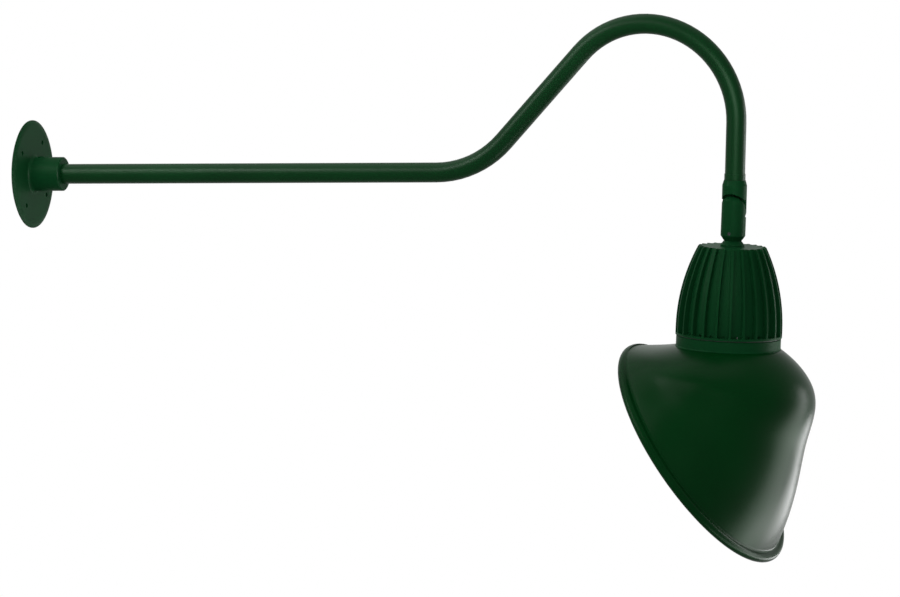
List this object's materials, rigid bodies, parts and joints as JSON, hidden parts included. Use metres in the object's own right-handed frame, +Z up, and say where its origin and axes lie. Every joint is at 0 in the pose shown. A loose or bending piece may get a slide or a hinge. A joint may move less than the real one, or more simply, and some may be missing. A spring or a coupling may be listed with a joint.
{
  "type": "gooseneck wall light",
  "caption": "Gooseneck wall light: round wall plate and hub, bent pipe arm, tilting knuckle, finned neck with its driver and lamp board, and an angled shade with a rolled rim.",
  "frame": {"origin": "centre of the wall plate's hole circle, on the face that lies on the wall and on the level axis of the arm", "axes": "+X points out of the wall along the level run of the arm, +Z up, +Y to the left of someone who faces the wall from the room turned to look along +X"},
  "size_m": [0.9623, 0.2988, 0.6361],
  "materials": {
    "green_steel": "satin dark green powder coat over steel pipe",
    "green_cast": "dark green powder coat over cast aluminium",
    "green_sheet": "gloss dark green powder coat over spun aluminium, white inside",
    "steel": "plain zinc-plated steel",
    "black_steel": "black-oxide steel",
    "seal": "black rubber",
    "pad": "grey heat-conducting pad",
    "case": "white moulded plastic",
    "board": "green circuit board",
    "components": "dark electronic components",
    "lamp_board": "white-faced aluminium circuit board",
    "emitter": "yellow phosphor under silicone",
    "holder": "white moulded plastic",
    "mirror": "bright drawn aluminium",
    "glass": "clear tempered glass"
  },
  "bodies": {
    "arm": {"wall_gasket": "seal", "wall_plate": "green_cast", "hub_set_screws": "black_steel", "arm_pipe": "green_steel", "arm_lock_ring": "green_steel"},
    "swivel": {"upper_knuckle": "green_cast", "upper_set_screw": "black_steel"},
    "head": {"lower_knuckle": "green_cast", "lower_set_screw": "black_steel", "pivot_screw": "steel", "friction_washer": "steel", "neck_nipple": "steel", "neck_lock_nut": "steel", "neck_cap": "green_cast", "cap_gasket": "seal", "cap_screws": "steel", "heat_sink": "green_cast", "driver_pad": "pad", "driver_case": "case", "driver_cover": "case", "driver_screws": "steel", "driver_board": "board", "driver_components": "components", "thermal_pad": "pad", "led_board": "lamp_board", "led_emitter": "emitter", "led_holder": "holder", "board_screws": "steel", "reflector": "mirror", "lens_gasket": "seal", "glass_lens": "glass", "lens_ring": "green_cast", "lens_ring_screws": "steel", "collar_gasket": "seal", "shade_collar": "green_cast", "collar_screws": "steel", "shade": "green_sheet"}
  },
  "joints": [
    {"name": "head_turn", "type": "hinge", "parent": "arm", "child": "swivel", "pos_m": [0.87592, 0, -0.04246], "axis": [0.0593, 0, 0.9982], "range_deg": [-175, 175]},
    {"name": "head_tilt", "type": "hinge", "parent": "swivel", "child": "head", "pos_m": [0.87592, 0, -0.04246], "axis": [0, 1, 0], "range_deg": [-60, 60]}
  ]
}
